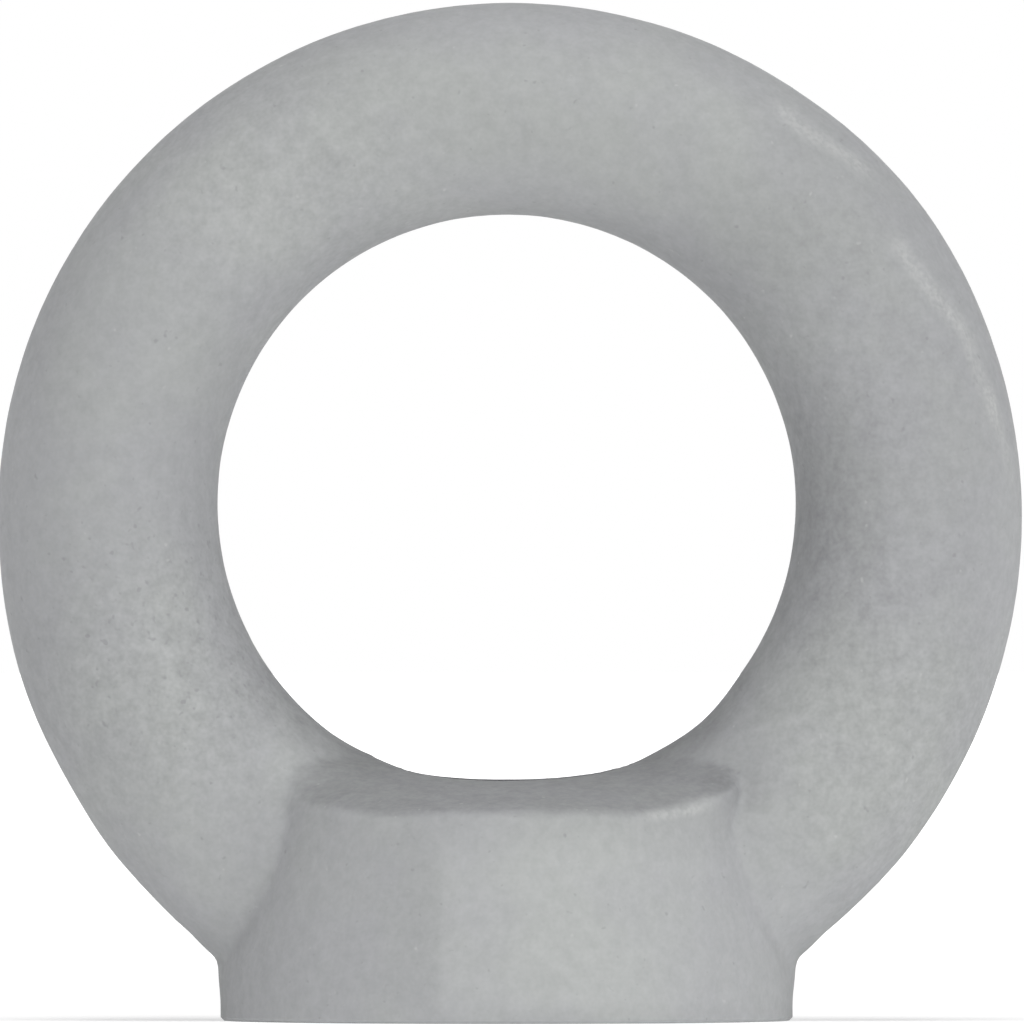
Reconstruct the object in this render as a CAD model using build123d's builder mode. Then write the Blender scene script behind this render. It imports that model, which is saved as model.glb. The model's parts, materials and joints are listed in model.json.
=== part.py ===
"""Lifting eye nut: a drop-forged ring standing on a tapered hub, tapped from the base to the eye.

The base lies on Z = 0 with the thread's axis on Z, the eye opens along Y, and the
forging's parting plane is Y = 0. All sizes are in millimetres and all angles in degrees.
"""

from build123d import *
from math import cos, radians, sin, sqrt, tan
import os

# Ring, measured in the parting plane
overall_height = 35.75
outer_diameter = 36.0
eye_diameter = 20.3
crown_thickness = 7.45
flank_start = 4.0  # below the ring's middle, where the lower flanks leave the ring's circle

# Ring, measured through its depth
ring_depth = 8.0
root_depth = 8.6
station_count = 10
root_angle = 165.0  # from the crown, where the loft ends inside the hub

# Hub
base_diameter = 20.1
shoulder_height = 2.2  # where the ring's flanks come down on the hub's sides
land_height = 0.8
land_blend = 8.0
hub_taper = 12.5
saddle_lift = 0.7  # of the hub's top over the eye's lowest point
saddle_length_radius = 25.0  # along the ring, hollow like the eye
saddle_depth_radius = 30.0  # through the eye, crowned
saddle_hollow_at_face = 0.22  # share of the hollow that is left level with the ring's faces
saddle_hollow_at_rim = 0.01
rim_round = 0.6
junction_fillet = 0.5
base_edge_break = 0.12

# Thread
thread_diameter = 8.0
thread_pitch = 1.25
base_countersink = 0.4  # wider than the thread, all round
eye_countersink = 0.15
countersink_slope = 45.0  # from the thread's axis

# Radii and heights that follow from the sizes above
outer_radius = outer_diameter / 2
eye_radius = eye_diameter / 2
base_radius = base_diameter / 2
minor_radius = (thread_diameter - 1.0825 * thread_pitch) / 2
base_mouth_radius = thread_diameter / 2 + base_countersink
eye_mouth_radius = thread_diameter / 2 + eye_countersink
outer_centre_height = overall_height - outer_radius
eye_centre_height = overall_height - crown_thickness - eye_radius
hub_height = eye_centre_height - eye_radius + saddle_lift
overrun = 1.0  # how far a cutting tool runs past the solid


def direction(angle):
    """Unit vector in the parting plane, at an angle from the crown."""
    return Vector(sin(radians(angle)), 0, cos(radians(angle)))


def distance_to_circle(ray, centre, radius):
    """Distance from the eye's centre to a circle of the parting plane, along a ray."""
    along = ray.dot(centre)
    return along + sqrt(radius**2 - centre.dot(centre) + along**2)


# Points and centres as seen from the eye's centre. Each flank is an arc that leaves the ring's
# circle without a kink and comes down on the hub at the shoulder.
outer_centre = Vector(0, 0, outer_centre_height - eye_centre_height)
flank_normal = direction(90 + flank_start)
flank_top = outer_centre + flank_normal * outer_radius
shoulder = Vector(base_radius, 0, shoulder_height - eye_centre_height)
flank_chord = shoulder - flank_top
flank_radius = flank_chord.dot(flank_chord) / (-2 * flank_normal.dot(flank_chord))
flank_centre = flank_top - flank_normal * flank_radius


def ring_thickness(angle):
    """Thickness of the ring from the eye to the outline, at an angle from the crown."""
    angle = min(abs(angle), root_angle)
    if angle < 90 + flank_start:
        return distance_to_circle(direction(angle), outer_centre, outer_radius) - eye_radius
    return distance_to_circle(direction(angle), flank_centre, flank_radius) - eye_radius


def ring_section_depth(angle):
    """Depth of the ring's section, which swells towards the root."""
    swell = ((1 - cos(radians(angle))) / 2) ** 3
    return ring_depth + (root_depth - ring_depth) * swell


def ring_section(angle):
    """Oval section of the ring: a front and a back half that meet in the parting plane."""
    thickness = ring_thickness(angle)
    centre = Vector(0, 0, eye_centre_height) + direction(angle) * (eye_radius + thickness / 2)
    half_depth = ring_section_depth(angle) / 2
    section_plane = Plane(origin=centre, x_dir=direction(angle), z_dir=direction(angle - 90))
    with BuildSketch(section_plane) as section:
        with BuildLine():
            EllipticalCenterArc((0, 0), thickness / 2, half_depth, 0, arc_size=180)
            EllipticalCenterArc((0, 0), thickness / 2, half_depth, 180, arc_size=180)
        make_face()
    return section.sketch


# The ring is lofted from root to root over the crown, and a short loft closes it inside the hub
with BuildPart() as ring:
    for station in range(station_count + 1):
        add(ring_section(root_angle * (2 * station / station_count - 1)))
    loft()
    for angle in (root_angle, 180, -root_angle):
        add(ring_section(angle))
    loft()
    split(bisect_by=Plane.XY.offset(land_height / 2), keep=Keep.TOP)

# Everything over the hub's top: hollow along the ring, crowned through the eye
saddle_reach = base_radius + overrun
saddle_rise = saddle_reach**2 / (2 * saddle_length_radius)
saddle_top = hub_height + saddle_rise + overrun
saddle_sections = [
    (-saddle_reach, saddle_hollow_at_rim),
    (-ring_depth / 2, saddle_hollow_at_face),
    (0, 1),
    (ring_depth / 2, saddle_hollow_at_face),
    (saddle_reach, saddle_hollow_at_rim),
]
with BuildPart() as saddle:
    for y, hollow in saddle_sections:
        low = hub_height - y**2 / (2 * saddle_depth_radius)
        high = low + saddle_rise * hollow
        with BuildSketch(Plane.XZ.offset(-y)):
            with BuildLine():
                floor = ThreePointArc((-saddle_reach, high), (0, low), (saddle_reach, high))
                Polyline(floor @ 1, (saddle_reach, saddle_top), (-saddle_reach, saddle_top), floor @ 0)
            make_face()
    loft()

# The hub: a plain land at the base, blended into the taper
blend_end_radius = base_radius - land_blend * (1 - cos(radians(hub_taper)))
blend_end_height = land_height + land_blend * sin(radians(hub_taper))
hub_top_radius = blend_end_radius - (saddle_top - blend_end_height) * tan(radians(hub_taper))
with BuildPart() as hub:
    with BuildSketch(Plane.XZ):
        with BuildLine():
            base_and_land = Polyline((0, 0), (base_radius, 0), (base_radius, land_height))
            blend = RadiusArc(base_and_land @ 1, (blend_end_radius, blend_end_height), -land_blend)
            Polyline(blend @ 1, (hub_top_radius, saddle_top), (0, saddle_top), (0, 0))
        make_face()
    revolve(axis=Axis.Z)
    base_edge = hub.edges().group_by(Axis.Z)[0]
    chamfer(base_edge, base_edge_break)
    add(saddle.part, mode=Mode.SUBTRACT)
    rim = hub.edges().sort_by(Axis.Z)[-1]
    fillet(rim, rim_round)

# The bore's profile: a countersink at the base, the tapping size, a countersink in the eye
base_mouth_depth = (base_mouth_radius - minor_radius) / tan(radians(countersink_slope))
eye_mouth_depth = (eye_mouth_radius - minor_radius) / tan(radians(countersink_slope))
mouth_overrun = overrun * tan(radians(countersink_slope))
bore_outline = [
    (0, -overrun),
    (base_mouth_radius + mouth_overrun, -overrun),
    (minor_radius, base_mouth_depth),
    (minor_radius, hub_height - eye_mouth_depth),
    (eye_mouth_radius + mouth_overrun, hub_height + overrun),
    (0, hub_height + overrun),
]

# One forging: the ring grows out of the hub with a fillet all round, and the thread is bored
with BuildPart() as eye_nut:
    add(hub.part)
    add(ring.part)
    fillet(eye_nut.edges(Select.NEW), junction_fillet)
    with BuildSketch(Plane.XZ):
        with BuildLine():
            Polyline(*bore_outline, close=True)
        make_face()
    revolve(axis=Axis.Z, mode=Mode.SUBTRACT)

eye_nut.part.label = "eye_nut"
os.makedirs("parts", exist_ok=True)
export_step(eye_nut.part, "parts/eye_nut.step")
print(f"eye_nut: {eye_nut.part.volume:.0f} cubic mm, {len(eye_nut.faces())} faces, "
      f"flank radius {flank_radius:.2f} mm, hub height {hub_height:.2f} mm")
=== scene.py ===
# %% [markdown]
# # A forged lifting eye nut
#
# A lifting eye nut is a ring forged in one piece with a round foot. The foot is faced flat and
# tapped, so that the nut screws onto a stud and the ring takes a hook. The forging comes from
# CAD at its real size. Here it gets what a forge, a blasting cabin and a tapping machine leave
# on it: a slightly wavy blasted skin, a turned face and a cut thread.
#
# The first cell empties the scene and loads the CAD model. Blender works in metres and the
# sizes below read best in millimetres, so `MM` turns one into the other.

# %% Load the forging
import json
import math

import bmesh
import bpy
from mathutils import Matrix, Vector, noise

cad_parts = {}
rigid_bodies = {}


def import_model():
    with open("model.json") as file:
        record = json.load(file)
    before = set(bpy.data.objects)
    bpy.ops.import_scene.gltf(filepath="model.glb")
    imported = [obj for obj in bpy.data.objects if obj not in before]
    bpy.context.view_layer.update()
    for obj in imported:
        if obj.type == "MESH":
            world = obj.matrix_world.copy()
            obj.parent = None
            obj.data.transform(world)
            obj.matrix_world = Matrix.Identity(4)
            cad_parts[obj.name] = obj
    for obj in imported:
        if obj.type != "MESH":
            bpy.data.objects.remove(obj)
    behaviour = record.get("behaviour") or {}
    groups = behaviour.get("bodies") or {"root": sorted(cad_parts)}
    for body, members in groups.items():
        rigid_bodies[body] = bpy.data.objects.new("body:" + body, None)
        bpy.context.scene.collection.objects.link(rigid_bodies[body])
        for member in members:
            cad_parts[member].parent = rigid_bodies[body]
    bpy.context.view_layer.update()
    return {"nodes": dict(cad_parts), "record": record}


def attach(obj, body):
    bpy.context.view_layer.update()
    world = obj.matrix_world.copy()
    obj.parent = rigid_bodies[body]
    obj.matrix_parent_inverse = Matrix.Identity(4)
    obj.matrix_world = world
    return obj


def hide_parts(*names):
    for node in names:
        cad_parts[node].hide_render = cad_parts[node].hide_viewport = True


MM = 0.001
for leftover in list(bpy.data.objects):
    bpy.data.objects.remove(leftover)
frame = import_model()
forging = frame["nodes"]["eye_nut"]

# %% [markdown]
# ## The sizes the finish needs
#
# The thread's place, length and tapping radius are read from the record's mount. The rest are
# the forging's own sizes. The base lies on z = 0, the thread's axis is z, and the eye opens
# along y.

# %% Sizes
thread_mount = next(m for m in frame["record"]["mounts"] if m["name"] == "thread")
MINOR_RADIUS = thread_mount["dims"]["r_mm"] * MM
THREAD_LENGTH = thread_mount["dims"]["length_mm"] * MM
THREAD_MIDDLE = thread_mount["pos_m"][2]
PITCH = 1.25 * MM
MAJOR_RADIUS = 4.0 * MM
THREAD_ANGLE = 60.0  # degrees, between the groove's flanks
FOOT_RADIUS = 10.05 * MM
FOOT_EDGE_BREAK = 0.12 * MM
BASE_MOUTH_RADIUS = 4.4 * MM  # of the countersink in the foot
EYE_MOUTH_RADIUS = 4.15 * MM  # of the countersink in the eye
EYE_HEIGHT = 18.15 * MM  # of the eye's centre
EYE_RADIUS = 10.15 * MM
OUTLINE_RADIUS = 18.0 * MM
thread_low = THREAD_MIDDLE - THREAD_LENGTH / 2
thread_high = THREAD_MIDDLE + THREAD_LENGTH / 2
print(f"thread: M{2 * MAJOR_RADIUS / MM:.0f} x {PITCH / MM}, bore {2 * MINOR_RADIUS / MM:.2f} mm")

# %% [markdown]
# ## Make a tap
#
# The CAD bore is the tapping size, as a drill leaves it. A tap then cuts a 60 degree groove into
# its wall, out to the nominal diameter. The same can be done here: a long screw with the groove's
# section is made as a mesh, and a Boolean takes it away from the forging further down. A normal
# map could only fake the groove, and its edge at the mouth would stay smooth.
#
# The screw is a grid wrapped round the axis. Each column is the thread's section repeated, and
# each next column stands a little higher, so that after one turn the rows meet one pitch up.
# The screw's root lies inside the drilled bore, so that no two faces of the cut coincide.

# %% A helper that turns points and faces into an object
def mesh_object(name, points, faces):
    """A new object with a mesh of its own, its faces turned outwards."""
    mesh = bpy.data.meshes.new(name)
    mesh.from_pydata(points, [], faces)
    shape = bmesh.new()
    shape.from_mesh(mesh)
    bmesh.ops.recalc_face_normals(shape, faces=shape.faces)
    shape.to_mesh(mesh)
    shape.free()
    made = bpy.data.objects.new(name, mesh)
    bpy.context.scene.collection.objects.link(made)
    return made


# %% The tap
TAP_COLUMNS = 72
TAP_CLEARANCE = 0.15 * MM  # between the screw's root and the bore's wall
TAP_OVERRUN = 2 * PITCH


def tap_section():
    """One pitch of the screw as (height, radius): a flat root, a flank, a flat crest, a flank."""
    flank = math.tan(math.radians(THREAD_ANGLE / 2))
    root_half = PITCH / 8 - TAP_CLEARANCE * flank
    crest_half = PITCH / 16
    root_radius = MINOR_RADIUS - TAP_CLEARANCE
    return [
        (-root_half, root_radius),
        (root_half, root_radius),
        (PITCH / 2 - crest_half, MAJOR_RADIUS),
        (PITCH / 2 + crest_half, MAJOR_RADIUS),
    ]


def make_tap(bottom, top):
    """A closed screw from below the bottom to above the top."""
    section = tap_section()
    turns = math.ceil((top - bottom) / PITCH)
    rows = turns * len(section)
    points, faces = [], []
    for column in range(TAP_COLUMNS):
        angle = 2 * math.pi * column / TAP_COLUMNS
        rise = bottom + PITCH * column / TAP_COLUMNS
        for row in range(rows + 1):
            turn, place = divmod(row, len(section))
            height, radius = section[place]
            z = rise + turn * PITCH + height
            points.append((radius * math.cos(angle), radius * math.sin(angle), z))

    def index(column, row):
        if column == TAP_COLUMNS:
            return row + len(section)
        return column * (rows + 1) + row

    last_row = rows - len(section)
    for column in range(TAP_COLUMNS):
        height = last_row if column == TAP_COLUMNS - 1 else rows
        for row in range(height):
            faces.append((index(column, row), index(column + 1, row),
                          index(column + 1, row + 1), index(column, row + 1)))
    # A fan closes each end. It follows the rim once round and down the step at the seam.
    seam = [index(TAP_COLUMNS - 1, row) for row in range(last_row, rows)]
    upper_rim = [index(column, rows) for column in range(TAP_COLUMNS)] + seam[::-1]
    lower_rim = [index(column, 0) for column in range(TAP_COLUMNS)]
    lower_rim += [index(0, row) for row in range(len(section), 0, -1)]
    for rim, z in ((upper_rim, top + PITCH), (lower_rim, bottom - PITCH)):
        points.append((0, 0, z))
        tip = len(points) - 1
        for here, there in zip(rim, rim[1:] + rim[:1]):
            faces.append((here, there, tip))
    return mesh_object("tap", points, faces)


tap = make_tap(thread_low - TAP_OVERRUN, thread_high + TAP_OVERRUN)
print("tap:", len(tap.data.polygons), "faces")

# %% [markdown]
# ## Forge, then machine
#
# The real part is forged as a blank with no hole, blasted, and only then faced, drilled and
# tapped. Its skin is slightly wavy, while its machined faces and their edges are crisp. Doing the
# same steps in the same order gives the same contrast:
#
# 1. a copy of the CAD solid loses its machined faces, and its foot is made longer
# 2. a voxel remesh turns it into an even net of small quads, a shrinkwrap lays the net back on
#    the forging's faces, and two rounds of smoothing ease its edges like the scale and shot do
# 3. noise moves the skin a hundredth of a millimetre or two in and out, and the small faults of
#    this one forging are added: its outline was trimmed a tenth of a millimetre beside the eye,
#    the dies were overfilled at a few places, and a few corners aren't quite where they should be
# 4. Booleans face the foot, drill the bore with its two countersinks, and tap it

# %% Helpers
def freeze(piece):
    """Applies all modifiers of a piece."""
    evaluated = piece.evaluated_get(bpy.context.evaluated_depsgraph_get())
    mesh = bpy.data.meshes.new_from_object(evaluated)
    piece.modifiers.clear()
    piece.data = mesh


def cut(piece, tool):
    """Takes the tool's volume away from the piece and removes the tool."""
    boolean = piece.modifiers.new("cut", "BOOLEAN")
    boolean.operation = "DIFFERENCE"
    boolean.solver = "MANIFOLD"
    boolean.object = tool
    freeze(piece)
    bpy.data.objects.remove(tool)


# %% The blank
WELD_DISTANCE = 0.0005 * MM
FACING_STOCK = 1.0 * MM
SKIN_VOXEL = 0.22 * MM
EASING_ROUNDS = 2
EASING_SHARE = 0.5  # of the way to its neighbours' mean that a corner moves in a round
FOOT_SLICE = 0.99 * FOOT_EDGE_BREAK  # faces with their middle below this belong to the foot
LEVEL_NORMAL = 0.9  # a face whose normal rises more than this lies level


def on_foot(centre):
    """True for the foot's flat face and for its broken edge."""
    return centre.z < FOOT_SLICE


def in_bore(centre):
    """True below the eye for the countersink in the foot and for the bore."""
    return math.hypot(centre.x, centre.y) < BASE_MOUTH_RADIUS and centre.z < thread_high


def in_eye_mouth(centre, normal):
    """True for the countersink in the eye, and not for the level saddle beside it."""
    reach = math.hypot(centre.x, centre.y)
    return reach < EYE_MOUTH_RADIUS and centre.z < EYE_HEIGHT / 2 and normal.z < LEVEL_NORMAL


def blank_mesh(source):
    """The forging before it is machined, with stock for facing under the foot."""
    shape = bmesh.new()
    shape.from_mesh(source.data)
    bmesh.ops.remove_doubles(shape, verts=shape.verts, dist=WELD_DISTANCE)
    machined = []
    for face in shape.faces:
        centre = face.calc_center_median()
        if on_foot(centre) or in_bore(centre) or in_eye_mouth(centre, face.normal):
            machined.append(face)
    bmesh.ops.delete(shape, geom=machined, context="FACES")
    foot_rim = [edge for edge in shape.edges
                if edge.is_boundary and edge.verts[0].co.z < FACING_STOCK]
    stock = bmesh.ops.extrude_edge_only(shape, edges=foot_rim)["geom"]
    corners = [part for part in stock if isinstance(part, bmesh.types.BMVert)]
    bmesh.ops.translate(shape, verts=corners, vec=(0, 0, -FACING_STOCK))
    open_edges = [edge for edge in shape.edges if edge.is_boundary]
    print("blank: closing", len(open_edges), "edges of", len(machined), "machined faces")
    bmesh.ops.holes_fill(shape, edges=open_edges, sides=0)
    bmesh.ops.triangulate(shape, faces=shape.faces)
    bmesh.ops.recalc_face_normals(shape, faces=shape.faces)
    mesh = bpy.data.meshes.new("blank")
    shape.to_mesh(mesh)
    shape.free()
    return mesh


blank = bpy.data.objects.new("blank", blank_mesh(forging))
bpy.context.scene.collection.objects.link(blank)
eye_nut = bpy.data.objects.new("eye_nut_body", blank.data.copy())
bpy.context.scene.collection.objects.link(eye_nut)
remesh = eye_nut.modifiers.new("skin", "REMESH")
remesh.mode = "VOXEL"
remesh.voxel_size = SKIN_VOXEL
wrap = eye_nut.modifiers.new("wrap", "SHRINKWRAP")
wrap.target = blank
ease = eye_nut.modifiers.new("ease", "SMOOTH")
ease.factor = EASING_SHARE
ease.iterations = EASING_ROUNDS
freeze(eye_nut)
bpy.data.objects.remove(blank)
print("skin:", len(eye_nut.data.polygons), "quads")

# %% [markdown]
# Two lists hold the faults, with sizes in millimetres. An overfilled place stands proud of the
# forging along its normal. A displaced one is moved as a whole: the four corners of the saddle,
# the eye's wall at the lower right, and the shoulders where the ring comes down on the foot.
# Both fade out softly at their reach.

# %% The skin's unevenness
WAVE_DEPTH = 0.014 * MM
WAVE_SIZE = 2.6 * MM
PEEN_DEPTH = 0.005 * MM
PEEN_SIZE = 0.8 * MM
PEEN_OFFSET = Vector((5, 5, 5))
TRIM_SHIFT = 0.12 * MM
TRIM_LOW = 2 * MM  # the shift fades in between these heights
TRIM_HIGH = 6 * MM
OVERFILLED = [  # (centre, reach, height)
    ((-3.6, 0, 8.9), 3.2, 0.20),
    ((14.6, 0, 28.4), 8.0, 0.085),
    ((-17.2, 0, 12.0), 4.5, 0.06),
    ((-13.8, 0, 6.0), 2.5, 0.05),
]
DISPLACED = [  # (centre, reach, move)
    ((-7.5, -4.8, 8.7), 2.4, (0, 0, -0.45)),
    ((7.4, -4.8, 8.7), 2.4, (0.75, 0, -0.10)),
    ((-7.5, 4.8, 8.7), 2.4, (0, 0, -0.40)),
    ((7.4, 4.8, 8.7), 2.4, (0.20, 0, -0.40)),
    ((6.9, 0, 10.5), 2.6, (0.09, 0, -0.07)),
    ((-10.05, 0, 2.2), 1.6, (-0.17, 0, 0)),
    ((10.05, 0, 2.2), 1.6, (0.20, 0, 0)),
]


def soft_step(value, low, high):
    """0 below low, 1 above high, and a smooth rise between them."""
    share = min(max((value - low) / (high - low), 0), 1)
    return share * share * (3 - 2 * share)


def closeness(place, centre, reach):
    """1 at a centre, falling softly to 0 at its reach; centre and reach in millimetres."""
    return soft_step(1 - (place / MM - Vector(centre)).length / reach, 0, 1)


def roughen(piece):
    """Moves each corner of the skin by waves, peened dents and the forging's faults."""
    for corner, normal in zip(piece.data.vertices, piece.data.vertex_normals):
        place = corner.co.copy()
        height = WAVE_DEPTH * noise.noise(place / WAVE_SIZE)
        height += PEEN_DEPTH * noise.noise(place / PEEN_SIZE + PEEN_OFFSET)
        for centre, reach, rise in OVERFILLED:
            height += rise * MM * closeness(place, centre, reach)
        corner.co += normal.vector * height
        for centre, reach, move in DISPLACED:
            corner.co += Vector(move) * MM * closeness(place, centre, reach)
        from_eye = math.hypot(place.x, place.z - EYE_HEIGHT)
        outer = soft_step(from_eye, EYE_RADIUS, OUTLINE_RADIUS)
        corner.co.x += TRIM_SHIFT * outer * soft_step(place.z, TRIM_LOW, TRIM_HIGH)


roughen(eye_nut)
print("faults:", len(OVERFILLED), "overfilled places and", len(DISPLACED), "displaced ones")

# %% [markdown]
# One turned body is the facing tool, the drill and both countersinks at once: its outline runs
# under the foot, up the broken edge's slope, along the foot's face, and up the bore into the eye.
# After it the tap cuts the thread. Edges sharper than `SHARP_ANGLE` stay crisp, the rest shade
# smoothly.

# %% Facing, drilling and tapping
TOOL_SEGMENTS = 96
TOOL_REACH = 3 * MM
SHARP_ANGLE = math.radians(36)


def turned_tool(name, outline):
    """A closed body turned round the axis from (radius, height) points, first and last on it."""
    points, faces = [], []
    for step in range(TOOL_SEGMENTS):
        angle = 2 * math.pi * step / TOOL_SEGMENTS
        for radius, height in outline[1:-1]:
            points.append((radius * math.cos(angle), radius * math.sin(angle), height))
    rows = len(outline) - 2
    first, last = len(points), len(points) + 1
    points += [(0, 0, outline[0][1]), (0, 0, outline[-1][1])]
    for step in range(TOOL_SEGMENTS):
        here, there = step * rows, (step + 1) % TOOL_SEGMENTS * rows
        faces.append((first, there, here))
        faces.append((last, here + rows - 1, there + rows - 1))
        for row in range(rows - 1):
            faces.append((here + row, there + row, there + row + 1, here + row + 1))
    return mesh_object(name, points, faces)


eye_mouth_height = thread_high + EYE_MOUTH_RADIUS - MINOR_RADIUS
cutter = turned_tool("cutter", [
    (0, -TOOL_REACH),
    (FOOT_RADIUS + TOOL_REACH, -TOOL_REACH),
    (FOOT_RADIUS + FACING_STOCK, FACING_STOCK + FOOT_EDGE_BREAK),
    (FOOT_RADIUS - FOOT_EDGE_BREAK, 0),
    (BASE_MOUTH_RADIUS, 0),
    (MINOR_RADIUS, BASE_MOUTH_RADIUS - MINOR_RADIUS),
    (MINOR_RADIUS, thread_high),
    (EYE_MOUTH_RADIUS + FACING_STOCK, eye_mouth_height + FACING_STOCK),
    (0, eye_mouth_height + FACING_STOCK),
])
cut(eye_nut, cutter)
cut(eye_nut, tap)
eye_nut.data.shade_smooth()
eye_nut.data.set_sharp_from_angle(angle=SHARP_ANGLE)
print("eye nut:", len(eye_nut.data.polygons), "faces")

# %% [markdown]
# ## Blasted steel
#
# The finish of a drop forging that has been shot-blasted is matt and nearly even, yet it is made
# of several layers. All of them read the place on the object, so they stay put in every view:
#
# - clouds a few millimetres wide, where the scale came off warmer or cooler
# - broad tones: a smoother patch on the hub, painted shade in the saddle, and painted light and
#   shade at a few soft places
# - scuffs, flecks and specks, brighter where the ring has been rubbed, and a painted highlight on
#   the hub's rim
# - a fine grain from the shot, half a millimetre and less across
# - small dark pits, most of them low on the left of the ring
#
# The shader has one Principled node. The layers are mixed in Math and Mix nodes and end in its
# colour, roughness and bump. A small class keeps that readable: each of its calls adds a node
# and returns the node's output, so that layers can be written as sums and products.

# %% A material written as calls
class Finish:
    """A material whose nodes are added by short calls, each of which returns a socket."""

    def __init__(self, name):
        self.material = bpy.data.materials.new(name)
        self.material.use_nodes = True
        self.tree = self.material.node_tree
        self.shader = self.tree.nodes["Principled BSDF"]
        coordinates = self.tree.nodes.new("ShaderNodeTexCoord").outputs
        self.place = self.scaled(coordinates["Object"], 1 / MM)
        self.facing = coordinates["Normal"]

    def fill(self, socket, value):
        """Links a socket to another socket, or sets it to a plain value."""
        if isinstance(value, bpy.types.NodeSocket):
            self.tree.links.new(value, socket)
        else:
            socket.default_value = value

    def node(self, kind, inputs, **settings):
        """A new node, its inputs given by name or number."""
        made = self.tree.nodes.new(kind)
        for name, value in settings.items():
            setattr(made, name, value)
        for socket, value in inputs.items():
            self.fill(made.inputs[socket], value)
        return made

    def set(self, name, value):
        """Sets or links an input of the shader."""
        self.fill(self.shader.inputs[name], value)

    def bump(self, height, depth):
        """Ends the finish with a bump whose height is a share of depth, in metres."""
        made = self.node("ShaderNodeBump", {"Height": height, "Distance": depth, "Strength": 1.0})
        self.set("Normal", made.outputs["Normal"])

    def split(self, vector):
        """The x, y and z of a vector."""
        return self.node("ShaderNodeSeparateXYZ", {"Vector": vector}).outputs

    def scaled(self, vector, factor):
        """A vector or a colour times a number."""
        return self.node("ShaderNodeVectorMath", {0: vector, "Scale": factor},
                         operation="SCALE").outputs["Vector"]

    def length(self, vector):
        """The length of a vector."""
        return self.node("ShaderNodeVectorMath", {0: vector}, operation="LENGTH").outputs["Value"]

    def math(self, operation, first, second=0.0, third=0.0):
        """A Math node's result."""
        return self.node("ShaderNodeMath", {0: first, 1: second, 2: third},
                         operation=operation).outputs["Value"]

    def product(self, first, *others):
        """All values multiplied."""
        for other in others:
            first = self.math("MULTIPLY", first, other)
        return first

    def total(self, first, *others):
        """All values added."""
        for other in others:
            first = self.math("ADD", first, other)
        return first

    def ramp(self, value, low, high, to_low=0.0, to_high=1.0):
        """Turns low..high into to_low..to_high with soft ends."""
        return self.node("ShaderNodeMapRange", {"Value": value, "From Min": low, "From Max": high,
                                                "To Min": to_low, "To Max": to_high},
                         interpolation_type="SMOOTHSTEP").outputs["Result"]

    def mix(self, factor, first, second):
        """A colour between two colours. The node's colour sockets only differ by number."""
        return self.node("ShaderNodeMix", {0: factor, 6: first, 7: second},
                         data_type="RGBA").outputs[2]

    def noise(self, size, detail=2.0, roughness=0.5, offset=(0, 0, 0)):
        """Noise between 0 and 1 whose blobs are about size millimetres across."""
        place = self.node("ShaderNodeMapping", {"Vector": self.place,
                                                "Location": offset}).outputs["Vector"]
        return self.node("ShaderNodeTexNoise", {"Vector": place, "Scale": 1 / size,
                                                "Detail": detail,
                                                "Roughness": roughness}).outputs["Fac"]

    def swing(self, size, amount, **settings):
        """Noise round 0, with amount as its full swing."""
        return self.product(self.math("SUBTRACT", self.noise(size, **settings), 0.5), amount)

    def spot(self, centre, reach):
        """1 at a place on the object, falling softly to 0 at its reach, in millimetres."""
        offset = self.node("ShaderNodeVectorMath", {0: self.place, 1: centre},
                           operation="SUBTRACT").outputs["Vector"]
        share = self.node("ShaderNodeVectorMath", {0: offset, 1: reach},
                          operation="DIVIDE").outputs["Vector"]
        return self.ramp(self.length(share), 0.0, 1.0, 1.0, 0.0)

    def spots(self, places):
        """The sum of spots, each given as (centre, reach, weight)."""
        return self.total(*[self.product(self.spot(centre, reach), weight)
                            for centre, reach, weight in places])


# %% [markdown]
# Clouds come first: scale and shot leave a forging warmer at some places and cooler at others.
# Soft noise gives the drift, and a list gives this forging's own places. Each is (centre, reach,
# weight), in millimetres from the foot's centre with the front at negative y. A positive weight
# is warmer, a negative one cooler. Faces square to the front and back also get a warmer, lighter
# tint, which is painted light.

# %% Clouds
WARM_GREY = (0.424, 0.436, 0.430, 1)
COOL_GREY = (0.408, 0.414, 0.424, 1)
CLOUD_SIZE = 3.5
LIT_FACE_WARMTH = 0.35  # how much warmer and lighter a face is that lies square to the front and back, as painted light
WARM_PLACES = [
    ((0, -4, 31), (16, 8, 7), 0.45),
    ((-9, -4, 28), (7, 8, 7), 0.25),
    ((-12, -4, 9), (6, 8, 6), 0.30),
    ((12, -4, 8), (6, 8, 8), 0.45),
    ((2.5, -9, 4), (6, 5, 6), 0.40),
    ((-5.5, -8, 4), (3.5, 5, 6), -0.35),
    ((-14, -4, 19), (5, 8, 7), -0.15),
    ((14, -4, 19), (6, 8, 9), -0.40),
    ((15.5, -3, 9), (4, 8, 5.5), 0.45),
    ((-12, -4, 13), (3, 8, 4.5), 0.35),
    ((-15.8, -4, 14), (3, 8, 6), -0.35),
]


def clouds(skin):
    """The colour of the skin before its grain."""
    normal = skin.split(skin.facing)
    # painted light: faces turned to the front and back get the warmer, lighter grey
    lit_faces = skin.ramp(skin.math("ABSOLUTE", normal["Y"]), 0.55, 0.95)
    drift = skin.ramp(skin.noise(CLOUD_SIZE, detail=3.0), 0.35, 0.65, -0.15, 0.35)
    warm = skin.total(drift, skin.product(lit_faces, LIT_FACE_WARMTH), skin.spots(WARM_PLACES))
    return skin.mix(warm, COOL_GREY, WARM_GREY)
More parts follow.
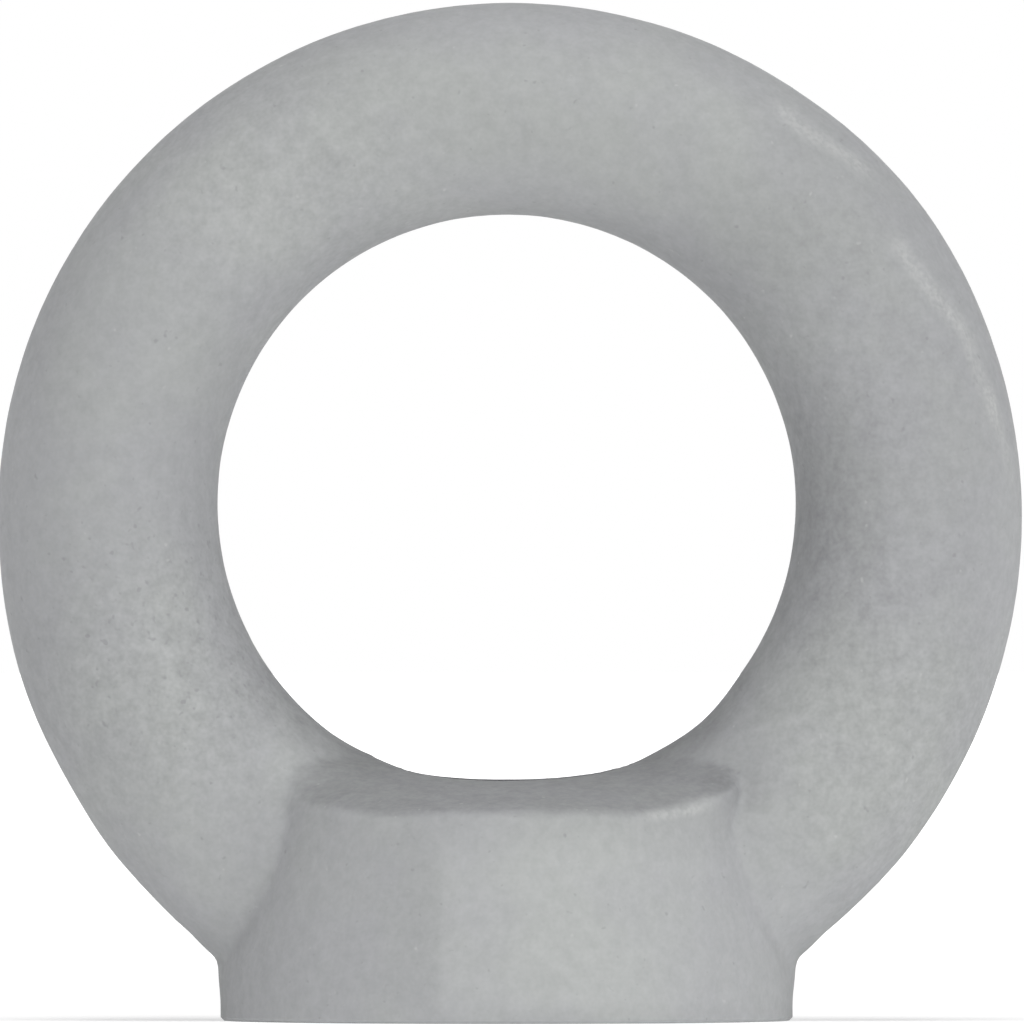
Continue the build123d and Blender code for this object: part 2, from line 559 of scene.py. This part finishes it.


# %% [markdown]
# The broad tones lighten or darken the skin by a share of its own tone. The hub's front was
# rubbed smoother in a patch with soft edges. The saddle inside the eye faces up and gets painted
# shade, with an uneven border. The rest are soft places of painted light and shade in a list as
# before.

# %% Broad tones: a smoother patch, painted shade and painted light
SMOOTH_GAIN = 0.08
# painted shade in the saddle, darker in its middle than at the rim
SADDLE_PAINTED_SHADE = -0.255
SADDLE_PAINTED_SHADE_AT_RIM = -0.12
BORDER_SIZE = 1.4
BORDER_SWING = 0.5
# painted light and shade at soft places: lighter outer edges and crown, darker inside the eye on
# the right
PAINTED_LIGHT_SHADE_AND_TONES = [
    ((11.2, -2, 17), (3.2, 6, 9), -0.12),
    ((14.5, -4, 20), (5, 6, 13), -0.07),
    ((-13.8, -4, 18), (4, 6, 9), -0.05),
    ((0, 0, 35.5), (13, 8, 2.6), 0.07),
    ((-18, -2, 19), (2.4, 6, 12), 0.12),
    ((18, -2, 15), (2.4, 6, 12), 0.11),
    ((10.5, -4, 28), (6, 6, 6), -0.10),
    ((0, -2, 28.8), (9, 6, 2.2), 0.07),
    ((-8.8, -2, 25.8), (4, 6, 4), 0.02),
    ((-14, -4, 18), (5, 6, 7), 0.03),
    ((-3.0, -9, 4), (1.5, 5, 6), -0.03),
    ((-6.5, -8, 3), (3, 5, 6), 0.05),
    ((-7.2, -4, 9.6), (2.6, 5, 2.0), 0.14),
    ((8.0, -4, 8.2), (1.8, 5, 1.3), -0.12),
    ((9.2, -3, 3), (2.6, 9, 6), 0.10),
    ((-10.6, -3, 6), (3, 6, 5), 0.06),
]


def smooth_patch(skin, front):
    """1 on the smoother middle of the hub's front, between soft edges on all four sides."""
    x, _, z = skin.split(skin.place)
    left = skin.ramp(x, -2.55, -2.05)
    right = skin.ramp(x, 6.6, 9.0, 1.0, 0.0)
    lower = skin.ramp(z, 0.2, 0.9)
    upper = skin.ramp(z, 5.5, 7.2, 1.0, 0.0)
    return skin.product(left, right, lower, upper, front)


def painted_saddle_shade(skin):
    """Painted shade on what faces up inside the eye, less behind and at the rims."""
    _, y, _ = skin.split(skin.place)
    in_eye = skin.ramp(skin.spot((0, 0, EYE_HEIGHT / MM), (20, 20, 20)), 0.05, 0.20)
    border = skin.swing(BORDER_SIZE, BORDER_SWING, detail=3.0)
    # faces that look up get the painted shade of the saddle, which the ring keeps from the top
    # light
    upward = skin.ramp(skin.total(skin.split(skin.facing)["Z"], border), 0.35, 1.0)
    less_behind = skin.ramp(y, -1.0, 3.0, 1.0, 0.5)
    tone = skin.ramp(skin.math("ABSOLUTE", y), 7.2, 9.6, SADDLE_PAINTED_SHADE, SADDLE_PAINTED_SHADE_AT_RIM)
    return skin.product(in_eye, upward, less_behind, tone)


# %% [markdown]
# Where a hook or a shackle has rubbed, bare metal shows: soft strokes across the upper right of
# the ring, flecks at the upper left, and specks all over. One more stroke, on the hub's rim below
# the saddle, is a painted highlight. A stroke is the distance from a straight line, made to
# wander by noise. Finer noise then breaks it up.

# %% Scuffs, flecks, specks and a painted highlight
SCUFFS_AND_RIM_HIGHLIGHT = [  # (start x and z, end x and z, half width, strength), all on the front
    ((9.2, 32.4), (12.9, 29.5), 0.42, 0.55),
    ((13.4, 27.6), (16.4, 23.8), 0.50, 0.60),
    ((16.1, 24.4), (17.2, 20.8), 0.45, 0.50),
    ((16.9, 22.4), (17.85, 18.2), 0.30, 0.45),
    # a painted highlight along the hub's rim below the saddle, not a scuff
    ((4.6, 7.0), (7.2, 7.8), 0.35, 0.60),
]
FLECK_PLACES = [((-8.7, -3.5, 28.3), (4.5, 4.0, 3.0), 0.22)]
WANDER_SIZE = 2.5
WANDER_SWING = 0.7
SCRATCH_SIZE = 0.20
SPECK_SIZE = 0.32
SPECK_STRENGTH = 0.55


def bright_stroke(skin, start, end, width, strength):
    """A soft stroke between two (x, z) points."""
    x, _, z = skin.split(skin.place)
    run, rise = end[0] - start[0], end[1] - start[1]
    length = math.hypot(run, rise)
    from_x, from_z = skin.math("SUBTRACT", x, start[0]), skin.math("SUBTRACT", z, start[1])
    along = skin.total(skin.product(from_x, run / length), skin.product(from_z, rise / length))
    across = skin.total(skin.product(from_z, run / length), skin.product(from_x, -rise / length))
    wander = skin.swing(WANDER_SIZE, WANDER_SWING, offset=(2, 2, 2))
    distance = skin.math("ABSOLUTE", skin.total(across, wander))
    stroke = skin.ramp(distance, 0.0, width, 1.0, 0.0)
    start_soft = skin.ramp(along, -0.3, 0.9)
    end_soft = skin.ramp(along, length - 0.9, length + 0.3, 1.0, 0.0)
    return skin.product(stroke, start_soft, end_soft, strength)


def rubbing_and_highlight(skin, front):
    """How far each place is rubbed bright, with the painted highlight on the hub's rim."""
    strokes = skin.product(skin.total(*[bright_stroke(skin, *stroke) for stroke in SCUFFS_AND_RIM_HIGHLIGHT]), front)
    scratches = skin.noise(SCRATCH_SIZE, detail=2.0, offset=(9, 1, 1))
    broken = skin.ramp(scratches, 0.30, 0.70, 0.25, 1.0)
    specks = skin.ramp(skin.noise(SPECK_SIZE, detail=1.0, offset=(3, 3, 9)), 0.73, 0.87)
    return skin.total(skin.product(skin.total(strokes, skin.spots(FLECK_PLACES)), broken),
                      skin.product(specks, SPECK_STRENGTH))


# %% [markdown]
# Last come the grain and the pits, and everything is put together. The shot's dents are of many
# sizes, so the grain is one noise with much fine detail. Its swing is larger where the skin is
# coarser. The pits are the peaks of a finer noise, and they are thickest low on the left.

# %% The blasted skin
GRAIN_SIZE = 0.56
GRAIN_SWING = 0.28
COARSE_SWING = 0.46  # added to the grain's swing at the coarse places
COARSE_PLACES = [
    ((-11, -3, 12), (8, 9, 7.5), 0.8),
    ((-8, -3, 29), (8, 9, 7), 0.5),
    ((13, -3, 10), (8, 9, 9), 0.6),
    ((11, -3, 19), (7, 9, 12), 0.45),
]
PIT_SIZE = 0.30
PIT_STRENGTH = 0.58
PIT_SINK = 0.5  # how deep a pit is, as a share of the grain's height
PIT_PLACES = [((-12, -3, 13.5), (8, 6, 7), 0.10)]
PIT_GREY = (0.30, 0.30, 0.31, 1)
RUBBED_AND_HIGHLIGHT_GREY = (0.56, 0.57, 0.56, 1)
METALLIC = 0.05
SPECULAR = 0.3
ROUGH_LOW = 0.80  # in the grain's hollows
ROUGH_HIGH = 0.70  # on its tops
RUBBED_SHINE = 0.2
SKIN_BUMP = 0.006 * MM


def blasted_steel():
    """Matt grey steel with clouds, broad tones, grain, pits and scuffs, partly painted light and
    shade.
    """
    skin = Finish("blasted_steel")
    _, y, _ = skin.split(skin.place)
    front = skin.ramp(y, -2.0, -1.0, 1.0, 0.0)

    grain = skin.noise(GRAIN_SIZE, detail=2.4, roughness=0.92, offset=(7, 3, 5))
    swing = skin.total(skin.product(skin.spots(COARSE_PLACES), COARSE_SWING), GRAIN_SWING)
    shade = skin.math("MULTIPLY_ADD", skin.math("SUBTRACT", grain, 0.5), swing, 1.0)
    # the grain's shade, the hub's smoother patch, the saddle's painted shade and the listed
    # painted light and shade
    shade = skin.total(shade, skin.product(smooth_patch(skin, front), SMOOTH_GAIN),
                       painted_saddle_shade(skin), skin.spots(PAINTED_LIGHT_SHADE_AND_TONES))
    colour = skin.scaled(clouds(skin), shade)

    speckle = skin.total(skin.noise(PIT_SIZE, detail=1.0, offset=(1, 8, 2)),
                         skin.spots(PIT_PLACES))
    pits = skin.ramp(speckle, 0.70, 0.84)
    colour = skin.mix(skin.product(pits, PIT_STRENGTH), colour, PIT_GREY)
    # wear and the painted highlight on the hub's rim turn the colour towards the bright grey
    rubbed_and_highlit = rubbing_and_highlight(skin, front)
    colour = skin.mix(rubbed_and_highlit, colour, RUBBED_AND_HIGHLIGHT_GREY)

    skin.set("Base Color", colour)
    skin.set("Metallic", METALLIC)
    skin.set("Specular IOR Level", SPECULAR)
    roughness = skin.ramp(grain, 0.3, 0.7, ROUGH_LOW, ROUGH_HIGH)
    skin.set("Roughness", skin.math("SUBTRACT", roughness, skin.product(rubbed_and_highlit, RUBBED_SHINE)))
    skin.bump(skin.total(grain, skin.product(pits, -PIT_SINK)), SKIN_BUMP)
    return skin.material


eye_nut.data.materials.clear()
eye_nut.data.materials.append(blasted_steel())
print("blasted steel:", len(eye_nut.data.materials[0].node_tree.nodes), "nodes")

# %% [markdown]
# ## Turned and tapped steel
#
# The foot is faced on a lathe, which leaves fine rings round the axis, and the drill and the tap
# leave a brighter wall. Those faces get a second finish. They are found by their place: the flat
# foot inside its broken edge, and everything below the eye inside the mouth of the bore.

# %% The machined faces
RING_PITCH = 0.22
RING_DRIFT = 0.15  # the rings aren't quite round
RING_DRIFT_SIZE = 2.5
STAIN_SIZE = 2.0
DARK_TURNED = (0.36, 0.37, 0.38, 1)
LIGHT_TURNED = (0.50, 0.51, 0.51, 1)
DARK_ROUGHNESS = 0.46
LIGHT_ROUGHNESS = 0.34
TURNED_BUMP = 0.008 * MM


def turned_steel():
    """Bare steel with the lathe's rings and a few soft stains."""
    turned = Finish("turned_steel")
    x, y, _ = turned.split(turned.place)
    radius = turned.math("SQRT", turned.total(turned.product(x, x), turned.product(y, y)))
    drift = turned.product(turned.noise(RING_DRIFT_SIZE), RING_DRIFT)
    rings = turned.math("SINE", turned.product(turned.total(radius, drift),
                                               2 * math.pi / RING_PITCH))
    stain = turned.ramp(turned.noise(STAIN_SIZE, detail=3.0), 0.3, 0.7, 0.0, 0.6)
    tone = turned.total(turned.product(rings, 0.2), 0.3, stain)
    turned.set("Base Color", turned.mix(tone, DARK_TURNED, LIGHT_TURNED))
    turned.set("Metallic", 1.0)
    turned.set("Roughness", turned.ramp(tone, 0.0, 1.0, DARK_ROUGHNESS, LIGHT_ROUGHNESS))
    turned.bump(rings, TURNED_BUMP)
    return turned.material


def is_bright(centre):
    """True for the foot's face, its countersink and the thread."""
    inside_edge = math.hypot(centre.x, centre.y) < FOOT_RADIUS - FOOT_EDGE_BREAK
    return (inside_edge and on_foot(centre)) or in_bore(centre)


eye_nut.data.materials.append(turned_steel())
for face in eye_nut.data.polygons:
    face.material_index = 1 if is_bright(face.center) else 0
print("machined:", sum(face.material_index for face in eye_nut.data.polygons), "faces")

# %% [markdown]
# ## Hand the piece over
#
# The dressed eye nut stands for the CAD solid, which is hidden, and rides on the only body.

# %% Ride on the body
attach(eye_nut, "root")
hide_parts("eye_nut")
print("the node eye_nut is shown by", eye_nut.name)

# %% [markdown]
# ## Floor, light and camera
#
# The nut stands on a pale floor in front of plain white. The floor and the world are white only
# to the camera and to reflections, so the metal itself gets a plain, soft light: a large panel
# in front, a little to the right, a second one nearly overhead, a sky that is brightest at the
# horizon, and the floor's own glow from below. Close to the nut the floor adds less white of its
# own, so that the nut's shadow shows on it.

# %% The floor
FLOOR_HALF = 3.0
PAPER_GREY = (0.8, 0.8, 0.8, 1)
FLOOR_GLOW = 0.33
NEAR_WHITE = 0.21  # what the floor adds close to the nut, where it is seen
NEAR_FLOOR = 60  # millimetres from the nut
FAR_FLOOR = 400


def plain_floor():
    """Pale paper that glows a little, and turns to plain white further off."""
    paper = Finish("pale_floor")
    rays = paper.tree.nodes.new("ShaderNodeLightPath").outputs
    seen = paper.math("MAXIMUM", rays["Is Camera Ray"],
                      paper.math("MAXIMUM", rays["Is Glossy Ray"], rays["Is Transmission Ray"]))
    white = paper.ramp(paper.length(paper.place), NEAR_FLOOR, FAR_FLOOR, NEAR_WHITE, 1.0)
    paper.set("Base Color", PAPER_GREY)
    paper.set("Roughness", 1.0)
    paper.set("Specular IOR Level", 0.0)
    paper.set("Emission Color", (1, 1, 1, 1))
    paper.set("Emission Strength", paper.total(paper.product(seen, white), FLOOR_GLOW))
    return paper.material


floor = mesh_object("floor", [(-FLOOR_HALF, -FLOOR_HALF, 0), (FLOOR_HALF, -FLOOR_HALF, 0),
                              (FLOOR_HALF, FLOOR_HALF, 0), (-FLOOR_HALF, FLOOR_HALF, 0)],
                    [(0, 1, 2, 3)])
floor.data.materials.append(plain_floor())
print("floor:", 2 * FLOOR_HALF, "m square")

# %% The world
HORIZON_LIGHT = 1.3
HORIZON_FALL = 3.0  # the power by which the light falls off towards the zenith


def studio_world():
    """White to the camera and to reflections, and brightest at the horizon for the rest."""
    world = bpy.data.worlds.new("studio")
    world.use_nodes = True
    tree = world.node_tree

    def node(operation, *values):
        made = tree.nodes.new("ShaderNodeMath")
        made.operation = operation
        for socket, value in zip(made.inputs, values):
            if isinstance(value, bpy.types.NodeSocket):
                tree.links.new(value, socket)
            else:
                socket.default_value = value
        return made.outputs[0]

    rays = tree.nodes.new("ShaderNodeLightPath").outputs
    seen = node("MAXIMUM", rays["Is Camera Ray"], rays["Is Glossy Ray"])
    seen = node("MAXIMUM", seen, rays["Is Transmission Ray"])
    white = node("GREATER_THAN", seen, 0.5)
    sky = tree.nodes.new("ShaderNodeTexCoord").outputs["Generated"]
    split = tree.nodes.new("ShaderNodeSeparateXYZ")
    tree.links.new(sky, split.inputs["Vector"])
    height = node("ABSOLUTE", split.outputs["Z"])
    level = node("POWER", node("SUBTRACT", 1.0, height), HORIZON_FALL)
    level = node("MULTIPLY", level, HORIZON_LIGHT)
    strength = node("MULTIPLY_ADD", level, node("SUBTRACT", 1.0, white), white)
    background = tree.nodes["Background"].inputs
    background["Color"].default_value = (1, 1, 1, 1)
    tree.links.new(strength, background["Strength"])
    return world


bpy.context.scene.world = studio_world()
print("world:", len(bpy.context.scene.world.node_tree.nodes), "nodes")

# %% The lamps
LAMP_DISTANCE = 0.65
LAMP_SIDE = 0.35


def panel(name, turn, tilt, power):
    """A square soft light aimed at the eye, turned to the right and raised, in degrees."""
    lamp = bpy.data.lights.new(name, "AREA")
    lamp.size = LAMP_SIDE
    lamp.energy = power
    made = bpy.data.objects.new(name, lamp)
    turn, tilt = math.radians(turn), math.radians(tilt)
    aim = Vector((-math.sin(turn) * math.cos(tilt), math.cos(turn) * math.cos(tilt),
                  -math.sin(tilt)))
    made.location = Vector((0, 0, EYE_HEIGHT)) - aim * LAMP_DISTANCE
    made.rotation_euler = aim.to_track_quat("-Z", "Y").to_euler()
    bpy.context.scene.collection.objects.link(made)


panel("front_panel", turn=25, tilt=2, power=2.08)
panel("top_panel", turn=0, tilt=80, power=2.25)

# %% [markdown]
# The camera looks level at the ring from far off through a long lens, so the foot's lower edge
# is almost straight and the ring's outline nearly fills the picture.

# %% The camera
CAMERA_DISTANCE = 1.4
SENSOR_WIDTH = 36  # millimetres
VIEW_WIDTH = 35.97 * MM
VIEW_X = 0.19 * MM
VIEW_HEIGHT = 17.86 * MM
lens = bpy.data.cameras.new("camera")
lens.sensor_width = SENSOR_WIDTH
lens.lens = SENSOR_WIDTH * CAMERA_DISTANCE / VIEW_WIDTH
lens.clip_start = 0.01
lens.clip_end = 20
camera = bpy.data.objects.new("camera", lens)
camera.location = (VIEW_X, -CAMERA_DISTANCE, VIEW_HEIGHT)
camera.rotation_euler = (math.radians(90), 0, 0)
bpy.context.scene.collection.objects.link(camera)
bpy.context.scene.camera = camera
bpy.context.scene.view_settings.view_transform = "Standard"
print("lens:", round(lens.lens), "mm")
